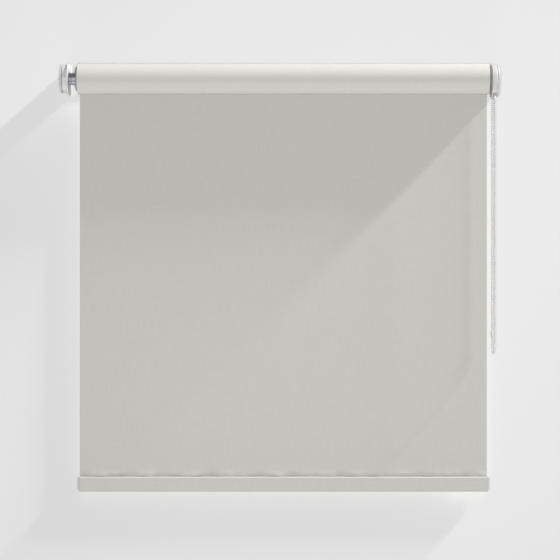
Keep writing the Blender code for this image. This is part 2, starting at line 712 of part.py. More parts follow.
def make_chain(parts):
    """The free loop, the stretch over the wheel, and the two pieces on the loop."""
    colour = white_plastic("chain_loop")
    radius = PITCH_RADIUS
    bend = radius * sqrt(0.5)
    top = MOUTH_Z
    last = BEND_Z + 0.008  # the strands run straight to just above the bend
    stops = [
        (FRONT_Y, top), (FRONT_Y, -0.10), (FRONT_Y, -0.20), (FRONT_Y, -0.30), (FRONT_Y, -0.40),
        (FRONT_Y, last), (FRONT_Y + 0.0006, BEND_Z - 0.004),
        (AXIS.y - bend, BEND_Z - bend), (AXIS.y, BEND_Z - radius), (AXIS.y + bend, BEND_Z - bend),
        (BACK_Y - 0.0006, BEND_Z - 0.004), (BACK_Y, last),
        (BACK_Y, -0.40), (BACK_Y, -0.30), (BACK_Y, -0.20), (BACK_Y, -0.10), (BACK_Y, top),
    ]
    route = smooth_route([Vector((WHEEL_X, y, z)) for y, z in stops], 0.0115)
    wire("chain_loop", route, BEAD_RADIUS, parts, colour)

    over = [(WHEEL_X, FRONT_Y, top + GAP)]
    steps = 16
    for i in range(steps + 1):
        angle = pi * i / steps
        over.append((WHEEL_X, AXIS.y - radius * cos(angle), radius * sin(angle)))
    over.append((WHEEL_X, BACK_Y, top + GAP))
    wire("chain_over_wheel", over, BEAD_RADIUS, parts, white_plastic("chain_over_wheel"))

    bore = BEAD_RADIUS + GAP
    stop_top = HOUSING_LOW - GAP
    make_bead("stop_bead", STOP_BEAD_RADIUS, bore, stop_top - STOP_BEAD_LENGTH, stop_top, FRONT_Y,
              parts)
    low = BEND_Z + CONNECTOR_ABOVE_BEND
    make_bead("chain_connector", CONNECTOR_RADIUS, bore, low, low + CONNECTOR_LENGTH, BACK_Y,
              parts)


def make_bead(name, radius, bore, low, high, y, parts):
    """A sleeve on a strand of the chain, rounded at both ends."""
    edge = (radius - bore) * 0.7
    turned(name, [
        (bore, high), *corner(radius, high, edge, "high"), *corner(radius, low, edge, "low"),
        (bore, low),
    ], parts, white_plastic(name), where=(WHEEL_X, y, 0), turn=UPRIGHT, steps=SMALL_STEPS)


def make_hanging_cloth(parts):
    half = FABRIC_THICKNESS / 2
    block("fabric_sheet", (-EDGE_X, SHEET_Y - half, -DROP + GAP), (EDGE_X, SHEET_Y + half, 0),
          parts, cloth("fabric_sheet"))


def make_bottom_rail(parts, cutters):
    """The bar, the hem round it, and a cap pushed into each end."""
    centre = Vector((0, SHEET_Y, RAIL_Z))
    outer = rounded_rectangle(BAR_HEIGHT, BAR_THICKNESS, BAR_ROUND)
    hollow = 2 * BAR_WALL
    inner = rounded_rectangle(BAR_HEIGHT - hollow, BAR_THICKNESS - hollow, BAR_ROUND - BAR_WALL)
    metal = bare_metal("bottom_bar")
    smooth(plate("bottom_bar", [outer, inner], -TUBE_END, TUBE_END, parts, metal, centre))

    room = 2 * GAP
    skin = 2 * (GAP + FABRIC_THICKNESS)
    wrap = rounded_rectangle(BAR_HEIGHT + skin, BAR_THICKNESS + skin, BAR_ROUND + skin / 2)
    inside = rounded_rectangle(BAR_HEIGHT + room, BAR_THICKNESS + room, BAR_ROUND + GAP)
    smooth(plate("rail_hem", [wrap, inside], -EDGE_X, EDGE_X, parts, cloth("rail_hem"), centre))

    shank = rounded_rectangle(BAR_HEIGHT - hollow - room, BAR_THICKNESS - hollow - room,
                              BAR_ROUND - BAR_WALL - GAP)
    for side, word in ((-1, "left"), (1, "right")):
        name = f"end_cap_{word}"
        near = EDGE_X + GAP
        low, high = sorted((side * near, side * (near + END_CAP_DEPTH)))
        cap = plate(name, [wrap], low, high, parts, white_plastic(name), centre)
        low, high = sorted((side * (near - END_PLUG_DEPTH), side * (near + END_CAP_DEPTH / 2)))
        combine(cap, plate(name + "_shank", [shank], low, high, cutters, where=centre), "UNION")
        smooth(cap)


def build():
    clear_scene()
    parts = new_collection("roller_blind")
    cutters = new_collection("cutters")
    pin_hole = PIN_RADIUS + RUNNING_GAP
    make_bracket("bracket_left", -1, LEFT_PLATE_X - SHEET, LEFT_PLATE_RADIUS, pin_hole, 0, parts,
                 cutters)
    make_bracket("bracket_right", 1, RIGHT_PLATE_END, RIGHT_PLATE_RADIUS, SPINDLE_NECK + GAP,
                 COVER_DROP, parts, cutters)
    make_screws(parts, cutters)
    make_roller(parts)
    make_idle_end(parts, cutters)
    make_idle_cover(parts)
    make_clutch(parts, cutters)
    make_control_covers(parts, cutters)
    make_chain(parts)
    make_hanging_cloth(parts)
    make_bottom_rail(parts, cutters)


build()
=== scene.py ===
import json
from math import acos, cos, exp, pi, radians, sin, sqrt, tau
from random import Random

import bmesh
import bpy
from mathutils import Matrix, Vector

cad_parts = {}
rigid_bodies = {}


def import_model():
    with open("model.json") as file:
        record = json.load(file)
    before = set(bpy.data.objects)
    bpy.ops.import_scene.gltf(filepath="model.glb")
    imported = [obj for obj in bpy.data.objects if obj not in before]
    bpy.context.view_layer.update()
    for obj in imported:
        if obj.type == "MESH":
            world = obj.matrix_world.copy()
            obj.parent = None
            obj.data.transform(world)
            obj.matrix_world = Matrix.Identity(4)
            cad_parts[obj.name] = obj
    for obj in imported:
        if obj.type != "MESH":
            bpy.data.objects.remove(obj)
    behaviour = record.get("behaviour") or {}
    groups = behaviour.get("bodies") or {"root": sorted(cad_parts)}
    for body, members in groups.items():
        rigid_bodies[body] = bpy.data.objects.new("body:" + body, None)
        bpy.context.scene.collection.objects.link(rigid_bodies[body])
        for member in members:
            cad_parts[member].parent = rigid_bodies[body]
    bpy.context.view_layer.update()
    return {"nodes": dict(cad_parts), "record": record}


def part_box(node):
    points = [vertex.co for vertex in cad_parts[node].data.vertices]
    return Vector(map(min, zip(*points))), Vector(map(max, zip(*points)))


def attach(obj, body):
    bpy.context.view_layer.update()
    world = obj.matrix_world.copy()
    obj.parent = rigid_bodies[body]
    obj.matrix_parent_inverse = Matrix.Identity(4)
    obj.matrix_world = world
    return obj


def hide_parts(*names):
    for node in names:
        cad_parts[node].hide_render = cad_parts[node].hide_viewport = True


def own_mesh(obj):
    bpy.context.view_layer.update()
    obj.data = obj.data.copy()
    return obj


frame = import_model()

# Roller blind with a side chain. Metres, +Z up, the wall is the plane y = 0 and the room is at -y.

joints = {joint["name"]: joint for joint in frame["record"]["behaviour"]["joints"]}
rollerAxis = Vector(joints["roller_spin"]["pos_m"])
axisY = rollerAxis.y
mm = 0.001

print("frame loaded:", len(frame["nodes"]), "nodes")


# Colours and nodes

def toLinear(hexColour):
    channels = []
    for i in (1, 3, 5):
        value = int(hexColour[i:i + 2], 16) / 255
        channels.append(value / 12.92 if value <= 0.04045 else ((value + 0.055) / 1.055) ** 2.4)
    return (*channels, 1.0)


def addNode(tree, kind, settings=None, links=None):
    node = tree.nodes.new(kind)
    for name, value in (settings or {}).items():
        if isinstance(name, str) and hasattr(node, name):
            setattr(node, name, value)
        else:
            node.inputs[name].default_value = value
    for socket, source in (links or {}).items():
        tree.links.new(source, node.inputs[socket])
    return node


def startMaterial(name, finish):
    material = bpy.data.materials.new(name)
    material.use_nodes = True
    tree = material.node_tree
    shader = tree.nodes["Principled BSDF"]
    for socket, value in finish.items():
        shader.inputs[socket].default_value = value
    return material, tree, shader


noiseSpan = {"From Min": 0.3, "From Max": 0.7}  # most of a noise's values lie between these


def shadeBetween(tree, amount, dark, light):
    ramp = addNode(tree, "ShaderNodeMapRange", noiseSpan, {0: amount})
    mix = addNode(tree, "ShaderNodeMix", {"data_type": "RGBA"}, {0: ramp.outputs[0]})
    mix.inputs[6].default_value = toLinear(dark)
    mix.inputs[7].default_value = toLinear(light)
    return mix.outputs[2]


def varyRoughness(tree, shader, amount, low, high):
    spread = addNode(tree, "ShaderNodeMapRange", {**noiseSpan, "To Min": low, "To Max": high},
                     {0: amount})
    tree.links.new(spread.outputs[0], shader.inputs["Roughness"])


def addBump(tree, shader, height, distance, strength):
    bump = addNode(tree, "ShaderNodeBump", {"Strength": strength, "Distance": distance},
                   {"Height": height})
    tree.links.new(bump.outputs[0], shader.inputs["Normal"])


def shadeSurface(tree, shader, tone, shades, gloss):
    tree.links.new(shadeBetween(tree, tone, *shades), shader.inputs["Base Color"])
    varyRoughness(tree, shader, tone, *gloss)


# Materials

# Plain-woven polyester blind cloth: matt and even, with slightly uneven threads.
# Real threads lie 0.4 mm apart. They are drawn 0.9 mm apart, so that they show.
def wovenPolyester(name, dark, light):
    thread = dict(spacing=0.9 * mm, slubLength=24 * mm, slubScale=0.7, relief=0.10 * mm)
    material, tree, shader = startMaterial(name, {
        "Roughness": 0.88, "IOR": 1.5, "Specular IOR Level": 0.25,
        "Sheen Weight": 0.12, "Sheen Roughness": 0.6,
    })
    uv = addNode(tree, "ShaderNodeUVMap", {"uv_map": "cloth"})
    across = addNode(tree, "ShaderNodeSeparateXYZ", links={0: uv.outputs[0]})
    turns = pi / thread["spacing"]
    waves = []
    for axis in (0, 1):
        scaled = addNode(tree, "ShaderNodeMath", {"operation": "MULTIPLY", 1: turns},
                         {0: across.outputs[axis]})
        waves.append(addNode(tree, "ShaderNodeMath", {"operation": "SINE"}, {0: scaled.outputs[0]}))
    overUnder = addNode(tree, "ShaderNodeMath", {"operation": "MULTIPLY"},
                        {0: waves[0].outputs[0], 1: waves[1].outputs[0]})
    # slubs: noise drawn out along the warp and along the weft
    slubs = []
    for scale in ((1 / thread["spacing"], 1 / thread["slubLength"], 1),
                  (1 / thread["slubLength"], 1 / thread["spacing"], 1)):
        drawnOut = addNode(tree, "ShaderNodeMapping", {"Scale": scale}, {0: uv.outputs[0]})
        slubs.append(addNode(tree, "ShaderNodeTexNoise",
                             {"Scale": thread["slubScale"], "Detail": 2.0, "Roughness": 0.5},
                             {"Vector": drawnOut.outputs[0]}))
    threads = addNode(tree, "ShaderNodeMath", {"operation": "ADD"},
                      {0: slubs[0].outputs[0], 1: slubs[1].outputs[0]})
    half = addNode(tree, "ShaderNodeMath", {"operation": "MULTIPLY", 1: 0.5},
                   {0: threads.outputs[0]})
    tree.links.new(shadeBetween(tree, half.outputs[0], dark, light), shader.inputs["Base Color"])
    weave = addNode(tree, "ShaderNodeMath", {"operation": "MULTIPLY_ADD", 1: 0.5},
                    {0: overUnder.outputs[0], 2: threads.outputs[0]})
    addBump(tree, shader, weave.outputs[0], thread["relief"], 0.35)
    return material


# Injection-moulded plastic: a fine spark-eroded grain from the mould, with slow changes of gloss.
# Real grain is about 0.05 mm. It is drawn 0.5 mm, so that it shows as soft breaks in the gloss.
def mouldedPlastic(name, dark, light, gloss, ior=1.53):
    grain = dict(size=0.5 * mm, flow=18 * mm, relief=0.02 * mm)
    material, tree, shader = startMaterial(name, {"IOR": ior})
    place = addNode(tree, "ShaderNodeTexCoord")
    fine = addNode(tree, "ShaderNodeTexNoise", {"Scale": 1 / grain["size"], "Detail": 2.0},
                   {"Vector": place.outputs["Object"]})
    broad = addNode(tree, "ShaderNodeTexNoise", {"Scale": 1 / grain["flow"], "Detail": 3.0},
                    {"Vector": place.outputs["Object"]})
    shadeSurface(tree, shader, broad.outputs[0], (dark, light), (gloss - 0.05, gloss + 0.06))
    addBump(tree, shader, fine.outputs[0], grain["relief"], 0.5)
    return material


# Powder-coated steel: a thick even skin with slight orange peel, about 1.5 mm across.
def powderCoatedSteel(name, dark, light):
    coat = dict(peel=1.5 * mm, relief=0.03 * mm, gloss=(0.34, 0.42))
    material, tree, shader = startMaterial(name, {"IOR": 1.52})
    place = addNode(tree, "ShaderNodeTexCoord")
    peel = addNode(tree, "ShaderNodeTexNoise", {"Scale": 1 / coat["peel"], "Detail": 1.0},
                   {"Vector": place.outputs["Object"]})
    shadeSurface(tree, shader, peel.outputs[0], (dark, light), coat["gloss"])
    addBump(tree, shader, peel.outputs[0], coat["relief"], 0.6)
    return material


# Bare metal whose surface was cast, drawn or extruded: lines or grain that break up the highlight.
# stretch gives the grain's size along x, y and z.
def bareMetal(name, dark, light, roughness, stretch, relief):
    material, tree, shader = startMaterial(name, {"Metallic": 1.0})
    place = addNode(tree, "ShaderNodeTexCoord")
    scale = tuple(1 / size for size in stretch)
    drawnOut = addNode(tree, "ShaderNodeMapping", {"Scale": scale}, {0: place.outputs["Object"]})
    lines = addNode(tree, "ShaderNodeTexNoise", {"Scale": 1.0, "Detail": 3.0, "Roughness": 0.6},
                    {"Vector": drawnOut.outputs[0]})
    shadeSurface(tree, shader, lines.outputs[0], (dark, light),
                 (roughness - 0.06, roughness + 0.08))
    addBump(tree, shader, lines.outputs[0], relief, 0.5)
    return material


blindCloth = wovenPolyester("wovenPolyester", "#C7C6C0", "#CECDC8")
whiteAbs = mouldedPlastic("mouldedAbsWhite", "#C6C6C5", "#CDCDCC", 0.45)
greyAcetal = mouldedPlastic("mouldedAcetalGrey", "#7C7D7F", "#868789", 0.42, 1.48)
whiteBeads = mouldedPlastic("mouldedPolyesterWhite", "#D2D2D0", "#DADAD8", 0.30, 1.57)
whiteSteel = powderCoatedSteel("powderCoatedSteelWhite", "#D0D0D0", "#D8D8D8")
castZinc = bareMetal("dieCastZinc", "#808184", "#919296", 0.48, (0.6 * mm,) * 3, 0.03 * mm)
platedSteel = bareMetal("zincPlatedSteel", "#B9BBBD", "#CBCDCF", 0.28, (0.4 * mm,) * 3, 0.01 * mm)
springSteel = bareMetal("drawnSpringSteel", "#7C7D80", "#8E8F92", 0.32,
                        (2 * mm, 0.3 * mm, 0.3 * mm), 0.01 * mm)
extrudedAluminium = bareMetal("extrudedAluminium", "#B4B6B8", "#C6C8CA", 0.36,
                              (60 * mm, 0.5 * mm, 0.5 * mm), 0.01 * mm)

print("materials made:", len(bpy.data.materials))


# Shapes

def addObject(name, data):
    added = bpy.data.objects.new(name, data)
    bpy.context.scene.collection.objects.link(added)
    return added


def addPiece(name, mesh, material, body, node=None):
    piece = addObject(name, mesh)
    mesh.name = name
    mesh.materials.append(material)
    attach(piece, body)
    if node:
        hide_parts(node)
    return piece


def toMesh(shape):
    mesh = bpy.data.meshes.new("shape")
    shape.to_mesh(mesh)
    shape.free()
    return mesh


# A new mesh of an object with its modifiers or its curve's shape applied.
def appliedMesh(holder):
    bpy.context.view_layer.update()
    graph = bpy.context.evaluated_depsgraph_get()
    return bpy.data.meshes.new_from_object(holder.evaluated_get(graph))


crease = radians(40)  # edges that turn more than this stay crisp
softCrease = radians(50)  # the same for beads and screw threads
mergeDistance = 0.002 * mm


def closeMesh(shape, sharp=crease):
    bmesh.ops.remove_doubles(shape, verts=shape.verts, dist=mergeDistance)
    bmesh.ops.recalc_face_normals(shape, faces=shape.faces)
    mesh = toMesh(shape)
    mesh.shade_smooth()
    mesh.set_sharp_from_angle(angle=sharp)
    return mesh


# Rounds the corners of an outline of (across, along, rounding) points. The roundings alone are in
# millimetres, and an open outline has none at its ends.
def roundedOutline(corners, steps=5):
    outline = []
    for i, (across, along, rounding) in enumerate(corners):
        here = Vector((across, along))
        if not rounding:
            outline.append(here)
            continue
        before = Vector(corners[i - 1][:2])
        after = Vector(corners[(i + 1) % len(corners)][:2])
        start = here + (before - here).normalized() * (rounding * mm)
        end = here + (after - here).normalized() * (rounding * mm)
        for step in range(steps + 1):
            t = step / steps
            weights = ((1 - t) ** 2, sqrt(2) * t * (1 - t), t * t)
            outline.append((start * weights[0] + here * weights[1] + end * weights[2])
                           / sum(weights))
    return outline


# Turns an outline of (radius, place along the axis) points round an axis. One that starts on the
# axis also ends there.
def turnOutline(outline, steps=128, centre=None, axis="X", swell=None, sharp=crease):
    centre = rollerAxis if centre is None else Vector(centre)
    shape = bmesh.new()
    rings = []
    for step in range(steps):
        angle = tau * step / steps
        ring = []
        for radius, along in outline:
            grown = radius + (swell(radius, along, angle) if swell and radius > 0 else 0)
            a, b = grown * sin(angle), grown * cos(angle)
            point = {"X": (along, a, b), "Y": (a, along, b), "Z": (a, b, along)}[axis]
            offset = Vector((0, centre.y, centre.z)) if axis == "X" else centre
            ring.append(shape.verts.new(Vector(point) + offset))
        rings.append(ring)
    links = len(outline) if outline[0][0] > 0 else len(outline) - 1
    for step in range(steps):
        here, there = rings[step], rings[(step + 1) % steps]
        for i in range(links):
            j = (i + 1) % len(outline)
            shape.faces.new((here[i], here[j], there[j], there[i]))
    return closeMesh(shape, sharp)


# Fills flat outlines, the later ones being holes, and gives them a depth along z.
def extrudeOutlines(outlines, depth, rounding=0.0):
    curve = bpy.data.curves.new("outlines", "CURVE")
    curve.dimensions = "2D"
    curve.fill_mode = "BOTH"
    curve.extrude = depth / 2 - rounding
    curve.bevel_depth = rounding
    curve.bevel_resolution = 2
    curve.offset = -rounding
    for outline in outlines:
        spline = curve.splines.new("POLY")
        spline.points.add(len(outline) - 1)
        for point, (a, b) in zip(spline.points, outline):
            point.co = (a, b, 0, 1)
        spline.use_cyclic_u = True
    holder = addObject("outlines", curve)
    filled = appliedMesh(holder)
    bpy.data.objects.remove(holder, do_unlink=True)
    shape = bmesh.new()
    shape.from_mesh(filled)
    bpy.data.meshes.remove(filled)
    return closeMesh(shape)


ontoX = Matrix.Rotation(pi / 2, 4, "Y")  # lays a shape's z along x


# Applies Boolean tools, and then optional rounded edges, to a mesh.
def carve(mesh, tools, rounding=0.0):
    body = addObject("carved", mesh)
    helpers = []
    for operation, toolMesh in tools:
        helper = addObject("tool", toolMesh)
        helpers.append(helper)
        boolean = body.modifiers.new("carve", "BOOLEAN")
        boolean.operation = operation
        boolean.object = helper
    if rounding:
        bevel = body.modifiers.new("edges", "BEVEL")
        bevel.width = rounding
        bevel.segments = 2
        bevel.limit_method = "ANGLE"
        bevel.angle_limit = crease
    carved = appliedMesh(body)
    for holder in [body, *helpers]:
        bpy.data.objects.remove(holder, do_unlink=True)
    carved.materials.clear()
    carved.shade_smooth()
    carved.set_sharp_from_angle(angle=crease)
    return carved


def boxMesh(low, high):
    shape = bmesh.new()
    bmesh.ops.create_cube(shape, size=1.0)
    low, high = Vector(low), Vector(high)
    bmesh.ops.scale(shape, vec=high - low, verts=shape.verts)
    bmesh.ops.translate(shape, vec=(low + high) / 2, verts=shape.verts)
    return toMesh(shape)


# Sweeps a ribbon's cross-section of (y, z, distance along the cloth) points along x, as one cloth.
# A narrow column at each side keeps the cut edge's soft shading to the edge.
def ribbonMesh(section, low, high, columns, sway=None, margin=0.4 * mm):
    shape = bmesh.new()
    layer = shape.loops.layers.uv.new("cloth")
    inner = high - low - 2 * margin
    stops = [low, *(low + margin + inner * i / columns for i in range(columns + 1)), high]
    grid = []
    for x in stops:
        row = []
        for y, z, along in section:
            moved = sway(x, y, z, along) if sway else (y, z)
            row.append(shape.verts.new((x, *moved)))
        grid.append(row)
    for column in range(len(stops) - 1):
        for i in range(len(section) - 1):
            corners = ((column, i), (column + 1, i), (column + 1, i + 1), (column, i + 1))
            face = shape.faces.new([grid[c][r] for c, r in corners])
            for loop, (c, r) in zip(face.loops, corners):
                loop[layer].uv = (stops[c], section[r][2])
    mesh = toMesh(shape)
    mesh.shade_smooth()
    return mesh


# Gives a ribbon its thickness, half on each side.
def thicken(piece, thickness):
    solid = piece.modifiers.new("thickness", "SOLIDIFY")
    solid.thickness = thickness
    solid.offset = 0.0


# Camera: level, a long lens, a little left of the middle and half way down the blind.

view = dict(lens=109.3, sensor=36.0, farClip=30.0, distance=2.9, x=-0.0058, z=-0.343)
cameraData = bpy.data.cameras.new("camera")
cameraData.lens = view["lens"]
cameraData.sensor_width = view["sensor"]
cameraData.clip_end = view["farClip"]
camera = addObject("camera", cameraData)
camera.location = (view["x"], axisY - view["distance"], view["z"])
camera.rotation_euler = (pi / 2, 0, 0)
bpy.context.scene.camera = camera


# The chain comes first: beads on a cord, in a loop below the cover and over the wheel.

chain = dict(pitch=3.6 * mm, beadDiameter=3.0 * mm, cordDiameter=1.0 * mm, cordOverlap=1.02,
             wheelPockets=28, straight=(-0.10, -0.20, -0.30, -0.40), bendAbove=8 * mm,
             bendBelow=4 * mm, bendEase=0.6 * mm, arcSteps=32)
loopLow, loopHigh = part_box("chain_loop")
wheelRadius = chain["pitch"] * chain["wheelPockets"] / tau
chainX = (loopLow[0] + loopHigh[0]) / 2
frontY = axisY - wheelRadius
backY = axisY + wheelRadius
bendZ = loopLow[2] + chain["beadDiameter"] / 2 + wheelRadius
bendOffset = wheelRadius * sqrt(0.5)
bendTop = bendZ + chain["bendAbove"]
bendSide = bendZ - chain["bendBelow"]
chainStops = [
    (frontY, loopHigh[2]), *((frontY, z) for z in chain["straight"]),
    (frontY, bendTop), (frontY + chain["bendEase"], bendSide),
    (axisY - bendOffset, bendZ - bendOffset), (axisY, bendZ - wheelRadius),
    (axisY + bendOffset, bendZ - bendOffset),
    (backY - chain["bendEase"], bendSide), (backY, bendTop),
    *((backY, z) for z in reversed(chain["straight"])), (backY, loopHigh[2]),
]


def smoothRoute(stops, samples=40):
    ends = [stops[0] * 2 - stops[1], *stops, stops[-1] * 2 - stops[-2]]
    route = []
    for before, start, end, after in zip(ends, ends[1:], ends[2:], ends[3:]):
        for i in range(samples):
            t = i / samples
            route.append(0.5 * (2 * start + (end - before) * t
                                + (2 * before - 5 * start + 4 * end - after) * t * t
                                + (3 * start - before - 3 * end + after) * t * t * t))
    route.append(stops[-1])
    return route


def lengthOf(route):
    return sum((b - a).length for a, b in zip(route, route[1:]))


# Points at even distances along a route.
def evenly(route, count):
    step = lengthOf(route) / count
    places = [route[0]]
    walked = 0.0
    for a, b in zip(route, route[1:]):
        span = (b - a).length
        while span > 0 and walked + span >= step * len(places) and len(places) <= count:
            places.append(a.lerp(b, (step * len(places) - walked) / span))
        walked += span
    if len(places) <= count:
        places.append(route[-1])
    return places


# Beads at even distances with the cord between them, as one mesh, and the points they stand on.
def beadString(route):
    count = round(lengthOf(route) / chain["pitch"])
    places = evenly(route, 2 * count)
    link = bmesh.new()
    bmesh.ops.create_uvsphere(link, u_segments=16, v_segments=10, radius=chain["beadDiameter"] / 2)
    bmesh.ops.create_cone(link, cap_ends=True, segments=8,
                          depth=chain["pitch"] * chain["cordOverlap"],
                          radius1=chain["cordDiameter"] / 2, radius2=chain["cordDiameter"] / 2)
    # Blender's own order changes from run to run, so the link gets a fixed one
    ordered = sorted(link.verts, key=lambda vert: tuple(round(part, 7) for part in vert.co))
    number = {vert: i for i, vert in enumerate(ordered)}
    linkPoints = [vert.co.copy() for vert in ordered]
    linkFaces = []
    for face in link.faces:
        corners = [number[vert] for vert in face.verts]
        first = corners.index(min(corners))
        linkFaces.append(corners[first:] + corners[:first])
    linkFaces.sort()
    link.free()
    points, faces = [], []
    for i in range(1, len(places), 2):
        ahead = (places[i + 1] - places[i - 1]).normalized()
        turn = ahead.to_track_quat("Z", "X")
        start = len(points)
        points += [places[i] + turn @ point for point in linkPoints]
        faces += [[start + corner for corner in face] for face in linkFaces]
    mesh = bpy.data.meshes.new("beads")
    mesh.from_pydata(points, [], faces)
    mesh.shade_smooth()
    mesh.set_sharp_from_angle(angle=softCrease)
    return mesh, places


freeRoute = smoothRoute([Vector((chainX, y, z)) for y, z in chainStops])
chainMesh, chainPlaces = beadString(freeRoute)
beadChain = addPiece("beadChain", chainMesh, whiteBeads, "root", "chain_loop")

overWheel = [Vector((chainX, frontY, loopHigh[2]))]
for step in range(chain["arcSteps"] + 1):
    angle = pi * step / chain["arcSteps"]
    overWheel.append(Vector((chainX, axisY - wheelRadius * cos(angle),
                             wheelRadius * sin(angle))))
overWheel.append(Vector((chainX, backY, loopHigh[2])))
addPiece("chainOverWheel", beadString(overWheel)[0], whiteBeads, "root",
         "chain_over_wheel")


sleeve = dict(boreGap=0.25 * mm, boreEdge=0.1, grooveEdge=0.15, grooveShare=0.6)


# A moulded sleeve clamped on one strand, with a parting groove round its middle.
def chainSleeve(name, node, body, groove, rounding):
    low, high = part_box(node)
    radius = (high[0] - low[0]) / 2
    bore = chain["beadDiameter"] / 2 + sleeve["boreGap"]
    middle = (low[2] + high[2]) / 2
    outline = roundedOutline([
        (bore, high[2], sleeve["boreEdge"]), (radius, high[2], rounding),
        (radius, middle + groove, sleeve["grooveEdge"]),
        (radius - groove * sleeve["grooveShare"], middle, 0),
        (radius, middle - groove, sleeve["grooveEdge"]), (radius, low[2], rounding),
        (bore, low[2], sleeve["boreEdge"]),
    ])
    centre = ((low[0] + high[0]) / 2, (low[1] + high[1]) / 2, 0)
    mesh = turnOutline(outline, steps=48, centre=centre, axis="Z")
    return addPiece(name, mesh, whiteBeads, body, node)


stopBead = chainSleeve("stopBead", "stop_bead", "stop_bead", 0.5 * mm, 0.9)
chainConnector = chainSleeve("chainConnector", "chain_connector", "connector", 0.4 * mm, 0.6)

print("chain made:", len(chainPlaces) // 2, "beads in", round(lengthOf(freeRoute), 3), "m")


# The cloth: wound on the tube, once round the outside, and down behind the roll.

cloth = dict(thickness=0.5 * mm, layerPitch=0.6 * mm, turnSteps=90, plainColumns=4,
             wavyColumns=350, outerSteps=150, outerStart=-radians(335), outerEase=6)
rowSteps = ((5 * mm, 0.4 * mm), (16 * mm, 0.9 * mm), (90 * mm, 3 * mm), (1.0, 12 * mm))
rollLow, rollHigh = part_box("fabric_roll")
sheetLow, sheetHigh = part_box("fabric_sheet")
tubeLow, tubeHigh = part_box("roller_tube")
tubeRadius = (tubeHigh[1] - tubeLow[1]) / 2
rollRadius = (rollHigh[1] - rollLow[1]) / 2
sheetY = (sheetLow[1] + sheetHigh[1]) / 2
clothLow, clothHigh = sheetLow[0], sheetHigh[0]


def woundCloth():
    inside = tubeRadius + cloth["layerPitch"]
    outside = rollRadius - cloth["thickness"] / 2
    turns = (outside - inside) / cloth["layerPitch"]
    steps = int(turns * cloth["turnSteps"])
    section = []
    along = 0.0
    for i in range(steps + 1):
        share = i / steps
        radius = inside + (outside - inside) * share
        angle = tau * turns * share
        section.append((axisY + radius * cos(angle - tau * turns),
                        rollerAxis.z + radius * sin(angle - tau * turns), along))
        along += radius * tau * turns / steps
    mesh = ribbonMesh(section, clothLow, clothHigh, cloth["plainColumns"])
    piece = addPiece("woundCloth", mesh, blindCloth, "roller", "fabric_roll")
    thicken(piece, cloth["thickness"])


# The outermost turn, which the hanging cloth leaves at the back. It starts under that cloth.
def outerTurn():
    section = []
    steps, start = cloth["outerSteps"], cloth["outerStart"]
    inside = rollRadius + cloth["thickness"] / 2
    rise = sheetY - axisY - rollRadius - cloth["thickness"] / 2
    along = 0.0
    for i in range(steps + 1):
        share = i / steps
        angle = start * (1 - share)
        radius = inside + min(1.0, share * cloth["outerEase"]) * rise
        section.append((axisY + radius * cos(angle), radius * sin(-angle), along))
        along -= radius * abs(start) / steps
    mesh = ribbonMesh(section[::-1], clothLow, clothHigh, cloth["plainColumns"])
    piece = addPiece("outerTurn", mesh, blindCloth, "root")
    thicken(piece, cloth["thickness"])
    return piece


# waves holds each wave's share of the height and its length as a share of the longest
hem = dict(pucker=1.2 * mm, puckerReach=6 * mm, puckerSpacing=73 * mm,
           waves=((0.5, 1.0), (0.3, 0.61), (0.2, 0.27)), lipWave=0.35 * mm, lipStretch=0.83,
           lipReach=3.5 * mm, seamDepth=1.0 * mm, seamHeight=5.5 * mm, seamUneven=0.7,
           seamStretch=0.9, seamShift=20 * mm)
hemRandom = Random(11)
puckerPhases = [hemRandom.uniform(0, tau) for _ in hem["waves"]]


# Uneven waves along the rail, from -1 to 1, where the hem's weld gathers the cloth.
def waveAt(x):
    return sum(share * sin(tau * x / (hem["puckerSpacing"] * length) + phase)
               for (share, length), phase in zip(hem["waves"], puckerPhases))


# How far the cloth stands forward of its plane at a height above the rail.
def puckerAt(x, height):
    return hem["pucker"] * waveAt(x) * exp(-(height / hem["puckerReach"]) ** 2)


# How far the weld presses the cloth back, just above the rail. The press is uneven along it.
def seamAt(x, height):
    uneven = hem["seamUneven"] * waveAt(hem["seamStretch"] * x + hem["seamShift"])
    depth = hem["seamDepth"] * (1 + uneven)
    return depth * cos(pi / 2 * min(1.0, height / hem["seamHeight"])) ** 2


def hangingCloth():
    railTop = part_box("rail_hem")[1][2]
    length = -railTop
    section = []
    height = 0.0
    while height < length:
        section.append((sheetY, railTop + height, height))
        height += next(step for below, step in rowSteps if height < below)
    section.append((sheetY, 0.0, length))

    def sway(x, y, z, along):
        return y - puckerAt(x, z - railTop) + seamAt(x, z - railTop), z

    mesh = ribbonMesh(section[::-1], clothLow, clothHigh, cloth["wavyColumns"],
                      sway)
    piece = addPiece("hangingCloth", mesh, blindCloth, "root", "fabric_sheet")
    thicken(piece, cloth["thickness"])
    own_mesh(piece)
    return piece, length


woundCloth()
turnPiece = outerTurn()
hangingPiece, hangingLength = hangingCloth()

print("cloth made")


# Bottom rail: the cloth's hem round an aluminium bar, and a moulded cap at each end.

rail = dict(bend=2.0, lipDrop=0.8 * mm, lipSlope=0.2 * mm, lipInset=0.05 * mm,
            weldFlap=5.5 * mm, flapBend=0.7, flapGap=0.15 * mm, flapDrop=0.3 * mm,
            backDrop=0.6 * mm, pointSpacing=1.2 * mm)
endCap = dict(rounding=0.4 * mm, corner=4.0, hemGap=0.3 * mm, shankInsets=(3 * mm, 2.4 * mm),
              shankReach=4 * mm)
hemLow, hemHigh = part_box("rail_hem")


